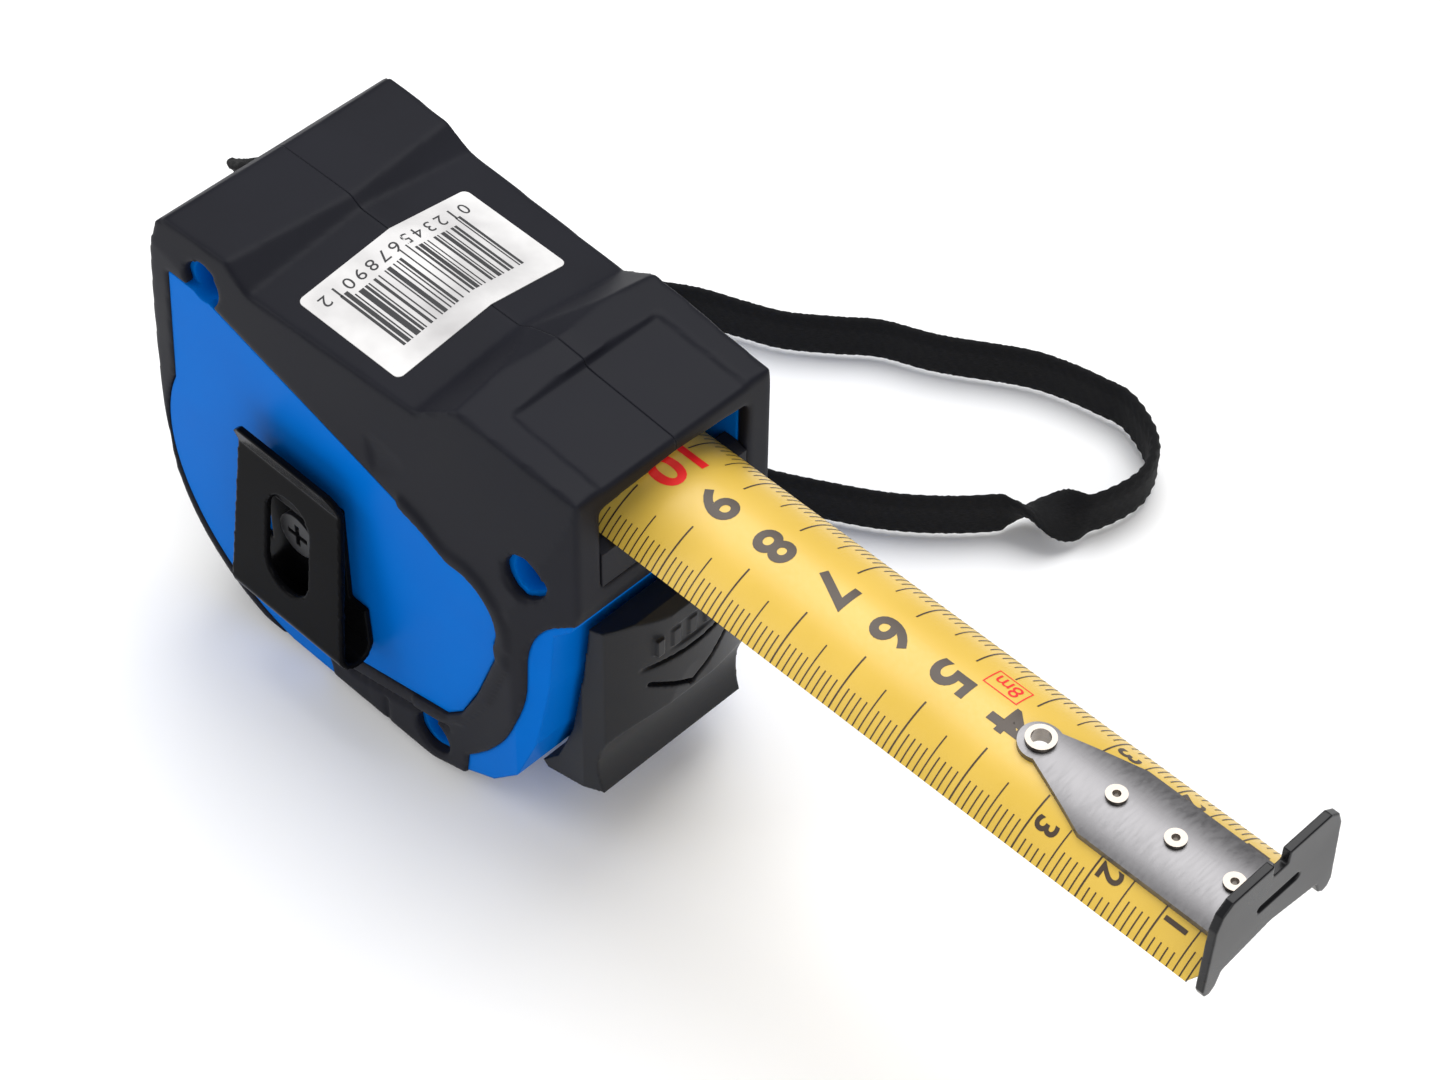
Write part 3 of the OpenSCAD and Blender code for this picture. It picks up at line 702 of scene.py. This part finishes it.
class TAPE_OT_clip(bpy.types.Operator):
    """Finish the belt clip, its screw and the case screws"""
    bl_idname = "tape.clip"
    bl_label = "Belt clip and screws"

    def execute(self, context):
        black = finish("Black enamel", (0.002, 0.002, 0.0025), 0.2, grain=700.0, bump=0.05,
                       depth=0.02 * MM, coat=0.03, coat_rough=0.12, spec=0.015)
        o = soften(copy_of("belt_clip", "bent_clip"), (0.24) * MM, 2)
        done(o, "case", black)
        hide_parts("belt_clip")
        coat_node("clip_screw", finish("Black screw", (0.005, 0.005, 0.006), 0.3, spec=0.2,
                                       grain=700.0, bump=0.05, round_r=0.2 * MM))
        zinc = brushed("Zinc screw", (0.42, 0.42, 0.44), (0.6, 0.6, 0.62))
        for n in ("case_screws", "strap_bar", "brake_pin"):
            coat_node(n, zinc)
        return {"FINISHED"}


class TAPE_OT_lock(bpy.types.Operator):
    """Finish the thumb lock"""
    bl_idname = "tape.lock"
    bl_label = "Thumb lock"

    def execute(self, context):
        black = finish("Lock plastic", (0.009, 0.0095, 0.012), 0.4, grain=3400.0, bump=0.3,
                       depth=0.03 * MM, spec=0.18)
        o = soften(copy_of("lock_button", "thumb_lock"), (0.2) * MM, 4)
        done(o, "lock", black)
        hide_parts("lock_button")
        return {"FINISHED"}


# ---------------------------------------------------------------- blade

def line_length(mm):
    """Length in millimetres of the scale's line at so many millimetres from zero."""
    if mm % 10 == 0:
        return 7.9
    if mm % 5 == 0:
        return 6.1
    if mm < 30 and mm % 10 > 5:
        return 2.0
    return 3.5


class TAPE_OT_blade(bpy.types.Operator):
    """Lacquer the blade and print its centimetre scale"""
    bl_idname = "tape.blade"
    bl_label = "Blade and scale"

    def execute(self, context):
        p = context.scene.tape_blade
        yellow = lacquer("Yellow lacquer", tuple(p.yellow))
        coat_node("blade", yellow)
        coat_node("blade_coil", yellow)
        ink = finish("Scale ink", tuple(p.ink), 0.42, grain=2400.0, bump=0.05)
        red = finish("Red scale ink", tuple(p.red_ink), 0.42, grain=2400.0, bump=0.05)
        marks = []
        edge = p.half_width
        for mm in range(2, int((ZERO_X - BLADE_START) / MM)):
            x = ZERO_X - mm * MM
            if x > BLADE_END - 0.2 * MM:
                continue
            w = p.line_width * (1.25 if mm % 10 == 0 else 1)
            for side in (-1, 1):
                y0, y1 = sorted((side * edge * 0.999, side * (edge - line_length(mm) * MM)))
                cuts = max(2, int((y1 - y0) / (0.8 * MM)))
                marks.append(line(x - w / 2, y0, x + w / 2, y1, cuts))
        o = joined(marks, "scale_lines")
        wrap_on_blade(o, LINE_LIFT)
        done(o, "blade", ink)
        figures = [figure(str(n), p.figure_height, ZERO_X - n * 10 * MM, 0, -90, 0.28, 1.08)
                   for n in range(4, 10)]
        for n in (1, 2, 3):
            for side in (-1, 1):
                figures.append(figure(str(n), 3.3 * MM, ZERO_X - n * 10 * MM + 2.2 * MM,
                                      side * 7.9 * MM, -90, 0.22, 1.0))
        o = joined(figures, "scale_figures")
        wrap_on_blade(o, FIGURE_LIFT)
        done(o, "blade", ink)
        ten = [figure("10", p.figure_height, ZERO_X - 98.8 * MM, 0.8 * MM, -90, 0.28, 1.08),
               figure("8m", 2.3 * MM, 103.5 * MM, 4.3 * MM, 180, 0.02, 1.0)]
        x0, x1, y0, y1, w = 100.8 * MM, 106.3 * MM, 2.5 * MM, 6.1 * MM, 0.18 * MM
        box_sides = ((x0, y0, x1, y0 + w), (x0, y1 - w, x1, y1), (x0, y0, x0 + w, y1),
                     (x1 - w, y0, x1, y1))
        ten += [line(*corners, 8) for corners in box_sides]
        o = joined(ten, "scale_red_figures")
        wrap_on_blade(o, RED_LIFT)
        done(o, "blade", red)
        return {"FINISHED"}


class TAPE_OT_hook(bpy.types.Operator):
    """Finish the end plate, its black lip, the rivets and the eyelet"""
    bl_idname = "tape.hook"
    bl_label = "End plate"

    def execute(self, context):
        coat_node("hook_plate", brushed("Satin plate", (0.14, 0.136, 0.14),
                                         (0.25, 0.245, 0.25), 0.34, 0.5))
        nickel = brushed("Nickel", (0.2, 0.175, 0.15), (0.32, 0.29, 0.26), 0.14, 0.26, 0.1)
        for n in ("hook_rivets", "hook_eyelet"):
            coat_node(n, nickel)
        o = soften(copy_of("hook_lip", "end_lip"), (0.15) * MM, 3)
        done(o, "hook",
             finish("Black lip", (0.006, 0.006, 0.007), 0.28, grain=900.0, bump=0.06, coat=0.05,
                    spec=0.2))
        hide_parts("hook_lip")
        return {"FINISHED"}


class TAPE_OT_inside(bpy.types.Operator):
    """Finish the reel, spring, brake and other parts inside the case"""
    bl_idname = "tape.inside"
    bl_label = "Parts inside"

    def execute(self, context):
        acetal = finish("Natural acetal", (0.78, 0.78, 0.74), 0.4, grain=1500.0, bump=0.06)
        nylon = finish("Black nylon", (0.02, 0.02, 0.022), 0.45, grain=1800.0, bump=0.12)
        spring = brushed("Spring steel", (0.36, 0.37, 0.40), (0.56, 0.57, 0.60))
        for n in ("reel_post", "blade_guide", "lock_carriage", "brake_lever"):
            coat_node(n, acetal)
        for n in ("reel_drum", "reel_side_disc"):
            coat_node(n, nylon)
        for n in ("power_spring", "lock_detent_spring"):
            coat_node(n, spring)
        return {"FINISHED"}


# ---------------------------------------------------------------- stage

class TAPE_OT_stage(bpy.types.Operator):
    """Set the pale floor, the soft lights and the camera"""
    bl_idname = "tape.stage"
    bl_label = "Floor, lights and camera"

    def execute(self, context):
        scene = context.scene
        cam = bpy.data.objects.new("camera", bpy.data.cameras.new("camera"))
        scene.collection.objects.link(cam)
        right = Vector((0.7087809, 0.7053503, 0.0105148))
        up = Vector((-0.5326994, 0.5254, 0.6634653))
        back = right.cross(up).normalized()
        up = back.cross(right).normalized()
        rot = Matrix((right.normalized(), up, back)).transposed().to_4x4()
        cam.matrix_world = Matrix.Translation(Vector((274.57, -222.47, 409.17)) * MM) @ rot
        cam.data.sensor_width = 36.0
        cam.data.lens = 91.3625
        cam.data.clip_start, cam.data.clip_end = 0.02, 20.0
        scene.camera = cam

        clear()
        bpy.ops.mesh.primitive_plane_add(size=6, location=(0, 0, -0.0002))
        floor = settle(bpy.context.object)
        floor.name = "floor"
        mat, t, bsdf, co = new_material("Pale floor")
        t.links.new(mixed(t, noise(t, co, 3.0), (0.95, 0.95, 0.95), (0.97, 0.97, 0.97)),
                    bsdf.inputs["Base Color"])
        bsdf.inputs["Roughness"].default_value = 0.9
        bsdf.inputs["Specular IOR Level"].default_value = 0.1
        floor.data.materials.append(mat)

        world = bpy.data.worlds.new("Studio")
        world.use_nodes = True
        world.node_tree.nodes["Background"].inputs["Color"].default_value = (0.98, 0.985, 1.0, 1)
        world.node_tree.nodes["Background"].inputs["Strength"].default_value = 0.36
        scene.world = world
        for name, at, aim, size, power in (
                ("overhead", (-0.15, 0.35, 0.9), (0.03, 0.0, 0.03), 0.8, 9.0),
                ("left window", (-0.6, -0.5, 0.5), (0.0, 0.0, 0.03), 0.5, 3.0),
                ("front fill", (0.75, -0.35, 0.5), (0.05, 0.0, 0.03), 0.6, 3.0)):
            lamp = bpy.data.objects.new(name, bpy.data.lights.new(name, "AREA"))
            scene.collection.objects.link(lamp)
            lamp.data.size = size
            lamp.data.energy = power
            lamp.location = at
            lamp.rotation_mode = "QUATERNION"
            lamp.rotation_quaternion = (Vector(aim) - Vector(at)).to_track_quat("-Z", "Y")
        scene.view_settings.view_transform = "Standard"
        return {"FINISHED"}


STEPS = ("stage", "strap", "case", "label", "clip", "lock", "blade", "hook", "inside")


class TAPE_PT_panel(bpy.types.Panel):
    """Lists the pieces of the tape measure"""
    bl_label = "Tape Measure"
    bl_idname = "TAPE_PT_panel"
    bl_space_type = "VIEW_3D"
    bl_region_type = "UI"
    bl_category = "Tape Measure"

    def draw(self, context):
        for settings in ("tape_blade", "tape_case", "tape_strap"):
            box = self.layout.box()
            values = getattr(context.scene, settings)
            for key in values.bl_rna.properties.keys():
                if key not in ("rna_type", "name"):
                    box.prop(values, key)
        for step in STEPS:
            self.layout.operator("tape." + step)


CLASSES = (BladeSettings, CaseSettings, StrapSettings, TAPE_OT_stage, TAPE_OT_strap,
           TAPE_OT_case, TAPE_OT_label, TAPE_OT_clip, TAPE_OT_lock, TAPE_OT_blade,
           TAPE_OT_hook, TAPE_OT_inside, TAPE_PT_panel)


def register():
    for c in CLASSES:
        bpy.utils.register_class(c)
    bpy.types.Scene.tape_blade = bpy.props.PointerProperty(type=BladeSettings)
    bpy.types.Scene.tape_case = bpy.props.PointerProperty(type=CaseSettings)
    bpy.types.Scene.tape_strap = bpy.props.PointerProperty(type=StrapSettings)


def unregister():
    del bpy.types.Scene.tape_blade
    del bpy.types.Scene.tape_case
    del bpy.types.Scene.tape_strap
    for c in reversed(CLASSES):
        bpy.utils.unregister_class(c)


def main():
    register()
    for step in STEPS:
        getattr(bpy.ops.tape, step)()


if __name__ == "__main__":
    main()
